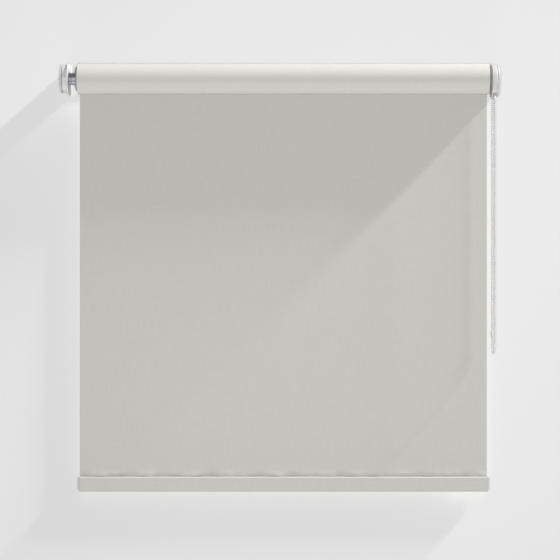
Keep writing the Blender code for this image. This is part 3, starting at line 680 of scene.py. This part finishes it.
# The hem's section: from the front of the cloth down, under the bar, up the back and its flap.
def railHem():
    depth = (hemHigh[1] - hemLow[1]) / 2 - cloth["thickness"] / 2
    top = hemHigh[2] - cloth["thickness"] / 2
    bottom = hemLow[2] + cloth["thickness"] / 2
    back = sheetY + cloth["thickness"] + rail["flapGap"]
    bend = rail["bend"]
    lip = top - rail["lipDrop"]
    corners = [
        (sheetY - rail["lipInset"], lip - rail["lipSlope"], 0), (sheetY - depth, lip, bend),
        (sheetY - depth, bottom, bend), (sheetY + depth, bottom, bend),
        (sheetY + depth, top - rail["backDrop"], bend),
        (back, top - rail["flapDrop"], rail["flapBend"]),
        (back, top + rail["weldFlap"], 0),
    ]
    outline = roundedOutline(corners, steps=8)
    dense = [outline[0]]
    for a, b in zip(outline, outline[1:]):
        pieces = max(1, round((b - a).length / rail["pointSpacing"]))
        for k in range(1, pieces + 1):
            dense.append(a.lerp(b, k / pieces))
    section = []
    along = 0.0
    for i, place in enumerate(dense):
        if i:
            along += (place - dense[i - 1]).length
        section.append((place.x, place.y, -along))

    def sway(x, y, z, along):
        near = min(1.0, exp((z - top) / hem["lipReach"]))
        height = max(0.0, z - top)
        follow = min(0.0, puckerAt(x, height)) - seamAt(x, height) if y > sheetY else 0.0
        lift = hem["lipWave"] * waveAt(x * hem["lipStretch"]) * near if y < sheetY else 0.0
        return y - follow * near, z - abs(lift)

    mesh = ribbonMesh(section, clothLow, clothHigh, cloth["wavyColumns"], sway)
    piece = addPiece("railHem", mesh, blindCloth, "rail", "rail_hem")
    thicken(piece, cloth["thickness"])
    return piece


hemPiece = railHem()


def railEndCap(side, node):
    low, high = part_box(node)
    outer = max(abs(low[0]), abs(high[0]))
    depth = outer - clothHigh - endCap["hemGap"]
    halfThick = (high[1] - low[1]) / 2
    halfTall = (high[2] - low[2]) / 2
    corners = [(a * halfTall, b * halfThick, endCap["corner"])
               for a, b in ((1, 1), (-1, 1), (-1, -1), (1, -1))]
    outline = roundedOutline(corners, steps=10)
    mesh = extrudeOutlines([outline], depth, endCap["rounding"])
    insetTall, insetThick = endCap["shankInsets"]
    shankTall, shankThick = halfTall - insetTall, halfThick - insetThick
    inside = -side * depth / 2
    shank = boxMesh((-shankTall, -shankThick, inside - endCap["shankReach"]),
                    (shankTall, shankThick, inside + endCap["shankReach"]))
    mesh = carve(mesh, [("UNION", shank)])
    middle = (side * (outer - depth / 2), (low[1] + high[1]) / 2, (low[2] + high[2]) / 2)
    mesh.transform(Matrix.Translation(middle) @ ontoX)
    name = "railEndCapLeft" if side < 0 else "railEndCapRight"
    addPiece(name, mesh, whiteAbs, "rail", node)


railEndCap(-1, "end_cap_left")
railEndCap(1, "end_cap_right")

print("bottom rail made")


# Control end: housing, outer cap and back plate round the chain wheel.

housing = dict(wall=1.5 * mm, rounding=1.5, seam=0.25 * mm, seamPlace=2.6 * mm,
               spindleBore=4.3 * mm, chainRoom=0.6 * mm, lipDepth=0.8 * mm, lipOverlap=0.4 * mm,
               lipInset=0.05 * mm, gap=0.3 * mm)
past = 2 * mm  # how far a cutting tool reaches past what it cuts
housingLow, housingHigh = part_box("control_housing")
coverCentre = Vector((0, (housingLow[1] + housingHigh[1]) / 2, (housingLow[2] + housingHigh[2]) / 2))


# A cutter for a round hole on the roller's axis.
def axisBore(radius, low, high):
    return turnOutline([(0, low), (radius, low), (radius, high), (0, high)], steps=64)


def controlHousing():
    low, high = housingLow, housingHigh
    radius = (high[1] - low[1]) / 2
    wall, seam = housing["wall"], housing["seam"]
    seamPlace = low[0] + housing["seamPlace"]
    outline = roundedOutline([
        (0, high[0], 0), (radius, high[0], housing["rounding"]),
        (radius, seamPlace + seam, 0.1), (radius - seam, seamPlace, 0),
        (radius, seamPlace - seam, 0.1), (radius, low[0], 0.4),
        (radius - wall, low[0], 0.2), (radius - wall, high[0] - wall, 0.8),
        (0, high[0] - wall, 0),
    ])
    mesh = turnOutline(outline, centre=coverCentre)
    room = chain["beadDiameter"] / 2 + housing["chainRoom"]
    halfMouth = wheelRadius + room
    mouth = boxMesh((chainX - room, axisY - halfMouth, low[2] - wall),
                    (chainX + room, axisY + halfMouth, -wheelRadius))
    bore = axisBore(housing["spindleBore"], high[0] - 2 * wall, high[0] + wall)
    # a thin white wall closes the cover under the back plate
    reach = radius - wall + housing["lipOverlap"]
    spread = acos((coverCentre.z + backplate["bottom"] + 0.1 * mm) / reach)
    arc = [(reach * cos(spread * i / 16), reach * sin(spread * i / 16)) for i in range(-16, 17)]
    lip = extrudeOutlines([arc], housing["lipDepth"])
    lipPlace = low[0] + housing["lipInset"] + housing["lipDepth"] / 2
    lip.transform(Matrix.Translation((lipPlace, coverCentre.y, coverCentre.z)) @ ontoX)
    mesh = carve(mesh, [("UNION", lip), ("DIFFERENCE", mouth), ("DIFFERENCE", bore)])
    addPiece("controlHousing", mesh, whiteAbs, "root", "control_housing")


outerCap = dict(ring=0.78, ringHalf=0.5 * mm, ringDepth=0.45 * mm, crown=0.1 * mm,
                edgeDrop=0.25 * mm, rounding=1.4)


def controlCap():
    low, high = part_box("control_cap")
    radius = (high[1] - low[1]) / 2
    plateLow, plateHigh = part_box("bracket_right")
    rim = (plateHigh[2] - plateLow[2]) / 2 + housing["gap"]
    disc = plateHigh[0] + housing["gap"]
    ring, half = radius * outerCap["ring"], outerCap["ringHalf"]
    face = high[0] - outerCap["crown"]
    outline = roundedOutline([
        (0, high[0], 0), (ring - half, face, 0.2),
        (ring, high[0] - outerCap["ringDepth"], 0.2), (ring + half, face, 0.2),
        (radius, high[0] - outerCap["edgeDrop"], outerCap["rounding"]),
        (radius, low[0], 0.3), (rim, low[0], 0.2), (rim, disc, 0), (0, disc, 0),
    ])
    # the bracket's side plate comes in from behind, so the cap is open there
    notch = boxMesh((low[0] - past, axisY, coverCentre.z - rim),
                    (disc, axisY + radius + past, coverCentre.z + rim))
    mesh = turnOutline(outline, centre=coverCentre)
    mesh = carve(mesh, [("DIFFERENCE", notch)])
    addPiece("controlCap", mesh, whiteAbs, "root", "control_cap")


backplate = dict(bottom=17.5 * mm, wheelBore=11.4 * mm, spigotInset=1.5 * mm, rim=3 * mm,
                 dish=0.5 * mm)


def controlBackplate():
    low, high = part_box("control_backplate")
    radius = (high[1] - low[1]) / 2
    back = housingLow[0] - housing["gap"]
    spigot = radius - backplate["spigotInset"]
    rim, dish = radius - backplate["rim"], low[0] + backplate["dish"]
    outline = roundedOutline([
        (0, high[0], 0), (spigot, high[0], 0.2), (spigot, back, 0), (radius, back, 0.3),
        (radius, low[0], 0.7), (rim, low[0], 0.4), (rim - 0.6 * mm, dish, 0.2),
        (0, dish, 0),
    ])
    mesh = turnOutline(outline, centre=coverCentre)
    bore = axisBore(backplate["wheelBore"], low[0] - past, high[0] + past)
    # the plate is cut off level below, where the chain leaves the cover
    below = boxMesh((low[0] - past, low[1] - past, low[2] - past),
                    (high[0] + past, high[1] + past, -backplate["bottom"]))
    mesh = carve(mesh, [("DIFFERENCE", bore), ("DIFFERENCE", below)])
    addPiece("controlBackplate", mesh, greyAcetal, "root", "control_backplate")


controlHousing()
controlCap()
controlBackplate()

print("control end made")


# Idle end: the plug and its collar, and the ribbed cover with its cap.

idle = dict(ribs=12, ribHeight=0.35 * mm, ribWidth=radians(3.2), ribEnds=(1 * mm, 1.2 * mm),
            coverWall=1.8 * mm, coverBore=8 * mm, seam=1.25 * mm)


def idleCover():
    low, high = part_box("idle_cover")
    radius = (high[1] - low[1]) / 2 - idle["ribHeight"]
    bore = radius - idle["coverWall"]
    inner = idle["coverBore"]
    outline = roundedOutline([
        (inner, high[0], 0.2), (radius, high[0], 0.6),
        (radius, high[0] - 1.4 * mm, 0.1), (radius, low[0] + 1.2 * mm, 0.1),
        (radius, low[0], 0.5), (bore, low[0], 0.2),
        (bore, high[0] - idle["coverWall"], 0.4), (inner, high[0] - idle["coverWall"], 0),
    ])

    # small grip ribs that run along the outside and stop short of both edges
    def swell(r, along, angle):
        start, end = low[0] + idle["ribEnds"][0], high[0] - idle["ribEnds"][1]
        if r < radius - 0.1 * mm or not start < along < end:
            return 0.0
        spacing = tau / idle["ribs"]
        offset = abs((angle + spacing / 2) % spacing - spacing / 2)
        return idle["ribHeight"] * max(0.0, 1 - (offset / idle["ribWidth"]) ** 2)

    mesh = turnOutline(outline, steps=24 * idle["ribs"], swell=swell)
    addPiece("idleCover", mesh, whiteAbs, "root", "idle_cover")


# The last two entries give the inner and outer radius of the dark ring that is painted shade in the
# seam.
idleCap = dict(spigot=21.0 * mm, neck=16.5 * mm, wall=1.5 * mm, ring=0.74, ringHalf=0.5 * mm,
               ringDepth=0.35 * mm, shadeRingInside=16.6 * mm, shadeRingOutside=21.4 * mm)


def idleCoverCap():
    low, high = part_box("idle_cover_cap")
    radius = (high[1] - low[1]) / 2
    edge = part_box("idle_cover")[0][0]
    face = edge - idle["seam"]
    spigot, neck = idleCap["spigot"], idleCap["neck"]
    hollow = neck - idleCap["wall"]
    ring, half = radius * idleCap["ring"], idleCap["ringHalf"]
    outline = roundedOutline([
        (0, face - 0.5 * mm, 0), (hollow, face - 0.5 * mm, 0.4), (hollow, high[0], 0.3),
        (spigot, high[0], 0.3), (spigot, edge + 0.5 * mm, 0.1),
        (neck, edge + 0.5 * mm, 0.1), (neck, face, 0.1), (radius, face, 0.2),
        (radius, low[0] + 0.2 * mm, 1.2), (ring + half, low[0], 0.2),
        (ring, low[0] + idleCap["ringDepth"], 0.2), (ring - half, low[0], 0.2),
        (0, low[0], 0),
    ])
    addPiece("idleCoverCap", turnOutline(outline), whiteAbs, "root",
             "idle_cover_cap")


# A grey ring at the bottom of the seam between the cover and its cap. It is painted shade: a dark
# ring that stands for the shadow deep in the groove, not a real seal.
def idleSeamShadeRing():
    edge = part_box("idle_cover")[0][0]
    left, right = edge - idle["seam"] + 0.05 * mm, edge + 0.4 * mm
    inside, outside = idleCap["shadeRingInside"], idleCap["shadeRingOutside"]
    outline = roundedOutline([
        (inside, right, 0), (outside, right, 0.1), (outside, left, 0.1),
        (inside, left, 0),
    ])
    addPiece("idleSeamShadeRing", turnOutline(outline), greyAcetal, "root")


collar = dict(bore=4.3 * mm, groovePlace=3.4 * mm, grooveDepth=0.7 * mm)


def idleCollar():
    low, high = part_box("idle_collar")
    radius = (high[1] - low[1]) / 2
    bore = collar["bore"]
    groove = low[0] + collar["groovePlace"]
    bottom = radius - collar["grooveDepth"]
    outline = roundedOutline([
        (bore, high[0], 0.2), (radius, high[0], 0.5),
        (radius, groove + 1.0 * mm, 0.2), (bottom, groove + 0.8 * mm, 0.2),
        (bottom, groove - 0.2 * mm, 0.2), (radius, groove - 0.4 * mm, 0.2),
        (radius, low[0], 0.8), (bore, low[0], 0.3),
    ])
    addPiece("idleCollar", turnOutline(outline, steps=96), castZinc,
             "idle_plunger", "idle_collar")


plug = dict(body=17.4 * mm, step=19 * mm, collarBore=10.6 * mm, pinBore=4.4 * mm,
            floor=17.5 * mm, flange=3.2 * mm, dish=0.6 * mm, keyHalf=3.8 * mm, keyLow=14.3 * mm,
            keyHigh=21 * mm)


def idlePlug():
    low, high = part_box("idle_plug")
    radius = (high[1] - low[1]) / 2
    body, collarBore, pinBore = plug["body"], plug["collarBore"], plug["pinBore"]
    floor = low[0] + plug["floor"]
    flange = low[0] + plug["flange"]
    shoulder = flange + 0.8 * mm
    dish = low[0] + plug["dish"]
    outline = roundedOutline([
        (body, high[0], 0.6), (body, shoulder, 0), (plug["step"], shoulder, 0.1),
        (plug["step"], flange, 0), (radius, flange, 0.4), (radius, low[0], 0.7),
        (radius - 2.2 * mm, low[0], 0.3), (radius - 2.8 * mm, dish, 0.2),
        (collarBore + 2.2 * mm, dish, 0.2), (collarBore + 1.6 * mm, low[0], 0.2),
        (collarBore, low[0], 0.3), (collarBore, floor, 0.3), (pinBore, floor, 0.2),
        (pinBore, high[0], 0.2),
    ])
    # the slot that the tube's key channel slides into
    keyHalf = plug["keyHalf"]
    slot = boxMesh((flange + 1.1 * mm, axisY - keyHalf, plug["keyLow"]),
                   (high[0] + past, axisY + keyHalf, plug["keyHigh"]))
    mesh = carve(turnOutline(outline), [("DIFFERENCE", slot)])
    addPiece("idlePlug", mesh, greyAcetal, "roller", "idle_plug")


spring = dict(wire=0.6 * mm, turns=4, stepsPerTurn=36, sides=10, closedPitch=2.15, seat=-0.336)


# The spring behind the collar: round wire with a closed turn at each end. The mesh keeps one
# shape, though the real spring shortens as the pin goes in.
def idleSpring():
    low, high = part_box("idle_spring")
    wire, turns, stepsPerTurn, sides = (spring[part] for part in
                                        ("wire", "turns", "stepsPerTurn", "sides"))
    radius = (high[1] - low[1]) / 2 - wire
    span = high[0] - low[0] - 2 * wire
    closed = spring["closedPitch"] * wire / span
    places, faces = [], []
    for i in range(turns * stepsPerTurn + 1):
        turn = i / stepsPerTurn
        if turn < 1:
            share = closed * turn
        elif turn > turns - 1:
            share = 1 - closed * (turns - turn)
        else:
            share = closed + (1 - 2 * closed) * (turn - 1) / (turns - 2)
        for k in range(sides):
            bend = tau * k / sides
            reach = radius + wire * cos(bend)
            places.append((low[0] + wire + span * share + wire * sin(bend),
                           axisY + reach * cos(tau * turn), reach * sin(tau * turn)))
    for i in range(turns * stepsPerTurn):
        for k in range(sides):
            start, ahead = i * sides, (k + 1) % sides
            faces.append((start + k, start + ahead, start + sides + ahead, start + sides + k))
    faces.append(tuple(range(sides))[::-1])
    faces.append(tuple(range(len(places) - sides, len(places))))
    mesh = bpy.data.meshes.new("idleSpring")
    mesh.from_pydata(places, [], faces)
    mesh.shade_smooth()
    piece = addPiece("idleSpring", mesh, springSteel, "roller", "idle_spring")
    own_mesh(piece)


idleCover()
idleCoverCap()
idleSeamShadeRing()
idleCollar()
idlePlug()
idleSpring()

print("idle end made")


# Brackets: sheet steel, bent once, with softened edges, and the screws that hold them.

bracket = dict(sheet=1.5 * mm, bend=2.8, edge=0.25 * mm, screwHole=2.4 * mm,
               screwSpacing=30 * mm, screwInset=20.5 * mm)


def circle(radius, across=0.0, steps=40):
    return [(across + radius * cos(tau * i / steps), radius * sin(tau * i / steps))
            for i in range(steps)]


def bentBracket(name, node, side, pinHole):
    low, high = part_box(node)
    radius = (high[2] - low[2]) / 2
    middleZ = (high[2] + low[2]) / 2
    outside = side * max(abs(low[0]), abs(high[0]))
    leg = side * min(abs(low[0]), abs(high[0]))
    sheet, bend = bracket["sheet"], bracket["bend"]
    front, inside = low[1] - past, outside - side * sheet
    strip = roundedOutline([
        (outside, front, 0), (outside, 0, bend), (leg, 0, 0), (leg, -sheet, 0),
        (inside, -sheet, bend - sheet / mm), (inside, front, 0),
    ], steps=10)
    mesh = extrudeOutlines([strip], 2 * radius)
    mesh.transform(Matrix.Translation((0, 0, middleZ)))
    round = [(radius * cos(pi * i / 64), -radius * sin(pi * i / 64)) for i in range(65)]
    behind = -axisY + past / 2
    profile = extrudeOutlines([[*round, (-radius, behind), (radius, behind)],
                                          circle(pinHole, middleZ)],
                              abs(outside - leg) + 2 * past)
    middle = Vector(((outside + leg) / 2, axisY, middleZ))
    profile.transform(Matrix.Translation(middle) @ ontoX)
    tools = [("INTERSECT", profile)]
    for up in (-1, 1):
        hole = extrudeOutlines([circle(bracket["screwHole"])], 4 * past)
        where = Vector((outside - side * bracket["screwInset"], 0,
                        middleZ + up * bracket["screwSpacing"] / 2))
        hole.transform(Matrix.Translation(where) @ Matrix.Rotation(pi / 2, 4, "X"))
        tools.append(("DIFFERENCE", hole))
    mesh = carve(mesh, tools, bracket["edge"])
    addPiece(name, mesh, whiteSteel, "root", node)


bentBracket("bracketLeft", "bracket_left", -1, plug["pinBore"])
bentBracket("bracketRight", "bracket_right", 1, housing["spindleBore"])

screw = dict(pitch=1.8 * mm, threadDepth=0.45 * mm, threadHalf=0.22, threadStart=3 * mm,
             threadRise=1.5 * mm, taper=6 * mm, core=1.6 * mm, headRadius=4.2 * mm,
             headHeight=2.4 * mm, recess=1.4 * mm, recessWidth=0.9 * mm, recessLength=4.8 * mm,
             rowSpacing=0.18 * mm)


# A pan-head wood screw pointing into the wall, with a real thread and a cross recess.
def woodScrewMesh():
    low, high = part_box("wall_screw_left_upper")
    seat = -bracket["sheet"] - housing["gap"]
    tip = high[1]
    outline = [(0.0, seat - screw["headHeight"])]
    for i in range(1, 9):
        angle = pi / 2 * i / 8
        outline.append((screw["headRadius"] * sin(angle), seat - screw["headHeight"] * cos(angle)))
    outline += [(screw["headRadius"] - 0.3 * mm, seat), (screw["core"] + 0.4 * mm, seat)]
    rows = int((tip - seat) / screw["rowSpacing"])
    for i in range(1, rows):
        along = seat + (tip - seat) * i / rows
        outline.append((screw["core"], along))
    outline.append((0.0, tip))

    # the thread rises from the core once in each pitch, and both taper at the tip
    def swell(radius, along, angle):
        if along <= seat + 0.5 * mm or radius != screw["core"]:
            return 0.0
        phase = ((along - seat) / screw["pitch"] - angle / tau) % 1.0
        tooth = max(0.0, 1 - abs(phase - 0.5) / screw["threadHalf"])
        taper = min(1.0, (tip - along) / screw["taper"])
        start = min(1.0, max(0.0, (along - seat - screw["threadStart"]) / screw["threadRise"]))
        return screw["core"] * (taper - 1) + screw["threadDepth"] * tooth * start * min(1, taper * 2)

    mesh = turnOutline(outline, steps=28, centre=(0, 0, 0), axis="Y",
                       swell=swell, sharp=softCrease)
    half, width = screw["recessLength"] / 2, screw["recessWidth"] / 2
    top = seat - screw["headHeight"]
    tools = [("DIFFERENCE", boxMesh((-a, top - 1 * mm, -b), (a, top + screw["recess"], b)))
             for a, b in ((half, width), (width, half))]
    return carve(mesh, tools)


screwMesh = woodScrewMesh()
for sideName in ("left", "right"):
    for level in ("upper", "lower"):
        node = f"wall_screw_{sideName}_{level}"
        low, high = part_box(node)
        placed = screwMesh.copy()
        placed.transform(Matrix.Translation(((low[0] + high[0]) / 2, 0, (low[2] + high[2]) / 2)))
        addPiece(f"wallScrew{sideName.title()}{level.title()}", placed, platedSteel, "root",
                 node)

print("brackets and screws made")


# The rest keeps its own shape and gets its own finish.

keptNodes = {
    "roller_tube": extrudedAluminium, "bottom_bar": extrudedAluminium, "fabric_spline": whiteAbs,
    "idle_pin": platedSteel, "idle_clip": springSteel,
    "drive_hub": greyAcetal, "chain_wheel": greyAcetal, "control_spindle": greyAcetal,
    "clutch_spring_1": springSteel, "clutch_spring_2": springSteel, "spindle_clip": springSteel,
}
for node, material in keptNodes.items():
    kept = frame["nodes"][node]
    kept.data.materials.clear()
    kept.data.materials.append(material)

print("kept nodes finished:", len(keptNodes))


# Stage: a pale wall and floor. The wall shows from the room only, and lets light past.

stage = dict(wallColour="#F1F1F1", floorColour="#C4C4C3", width=9.0, height=6.0, floorZ=-1.6,
             floorDepth=6.0, wallY=0.4 * mm)


def stageMaterial(name, colour, oneSided):
    material, tree, shader = startMaterial(name, {
        "Base Color": toLinear(colour), "Roughness": 0.9, "Specular IOR Level": 0.1})
    if oneSided:
        facing = addNode(tree, "ShaderNodeNewGeometry")
        clear = addNode(tree, "ShaderNodeBsdfTransparent")
        mix = addNode(tree, "ShaderNodeMixShader", links={
            0: facing.outputs["Backfacing"], 1: shader.outputs[0], 2: clear.outputs[0]})
        tree.links.new(mix.outputs[0], tree.nodes["Material Output"].inputs[0])
    return material


def stagePlane(name, corners, material):
    shape = bmesh.new()
    shape.faces.new([shape.verts.new(corner) for corner in corners])
    mesh = toMesh(shape)
    mesh.materials.append(material)
    plane = addObject(name, mesh)
    plane.visible_diffuse = False
    plane.visible_shadow = False
    return plane


halfWide, depth = stage["width"] / 2, stage["floorDepth"]
wallY, floorZ = stage["wallY"], stage["floorZ"]
ceilingZ = floorZ + stage["height"]
wall = stagePlane("wall", [
    (-halfWide, wallY, floorZ), (halfWide, wallY, floorZ),
    (halfWide, wallY, ceilingZ), (-halfWide, wallY, ceilingZ),
], stageMaterial("paintedWall", stage["wallColour"], True))
wall.visible_glossy = False
stagePlane("floor", [
    (-halfWide, -depth, floorZ), (halfWide, -depth, floorZ),
    (halfWide, depth, floorZ), (-halfWide, depth, floorZ),
], stageMaterial("paleFloor", stage["floorColour"], False))


# Light: a soft lamp at the camera, a light thrown up from the floor, a long soft key that grazes
# the wall from the upper right, and a dim room. The wall's own bounce is part of the room, because
# the wall lets light past.

light = dict(front=1.85, frontSize=0.15, up=1.2, upSize=radians(12), upLean=radians(2), room=0.27,
             bounce=0.80, turnOver=0.1, key=4.0, keyReach=8.0, keyAngle=radians(45), keyWidth=0.30,
             keyDepth=1.10, keyNearest=0.25)
world = bpy.data.worlds.new("room")
bpy.context.scene.world = world
world.use_nodes = True
world.cycles.sampling_method = "NONE"  # the room reaches the blind only as bounced rays
worldTree = world.node_tree
worldTree.nodes.clear()
direction = addNode(worldTree, "ShaderNodeTexCoord")
parts = addNode(worldTree, "ShaderNodeSeparateXYZ", links={0: direction.outputs["Generated"]})
behind = addNode(worldTree, "ShaderNodeMapRange",
                 {"From Min": -light["turnOver"], "From Max": light["turnOver"],
                  "To Min": light["room"], "To Max": light["bounce"]}, {0: parts.outputs[1]})
background = addNode(worldTree, "ShaderNodeBackground", links={"Strength": behind.outputs[0]})
addNode(worldTree, "ShaderNodeOutputWorld", links={0: background.outputs[0]})


def addLight(name, kind, strength, place, **settings):
    data = bpy.data.lights.new(name, kind)
    data.energy = strength
    for setting, value in settings.items():
        setattr(data, setting, value)
    lamp = addObject(name, data)
    lamp.matrix_world = place
    lamp.visible_camera = False


addLight("floorLight", "SUN", light["up"], Matrix.Rotation(pi - light["upLean"], 4, "X"),
         angle=light["upSize"])
addLight("frontLight", "POINT", light["front"] * 4 * pi * camera.location.y ** 2,
         Matrix.Translation(camera.location), shadow_soft_size=light["frontSize"])

reach, angle = light["keyReach"], light["keyAngle"]
keyPlace = Vector((reach * cos(angle), -light["keyNearest"] - light["keyDepth"] / 2,
                   reach * sin(angle)))
away = Vector((keyPlace.x, 0, keyPlace.z)).normalized()
depthwise = Vector((0, 1, 0))
turn = Matrix((depthwise.cross(away), depthwise, away)).transposed()
addLight("keyLight", "AREA", light["key"] * pi * reach ** 2,
         Matrix.Translation(keyPlace + Vector((0, 0, view["z"]))) @ turn.to_4x4(),
         shape="RECTANGLE", size=light["keyWidth"], size_y=light["keyDepth"])

# Only the hanging cloth and its hem dim or tint the wall, so the wall stays even around the rest.
for piece in bpy.context.scene.objects:
    if piece.type == "MESH" and piece.name not in ("hangingCloth", "railHem"):
        piece.visible_diffuse = False
bpy.context.scene.view_settings.view_transform = "Standard"

print("stage and light made")
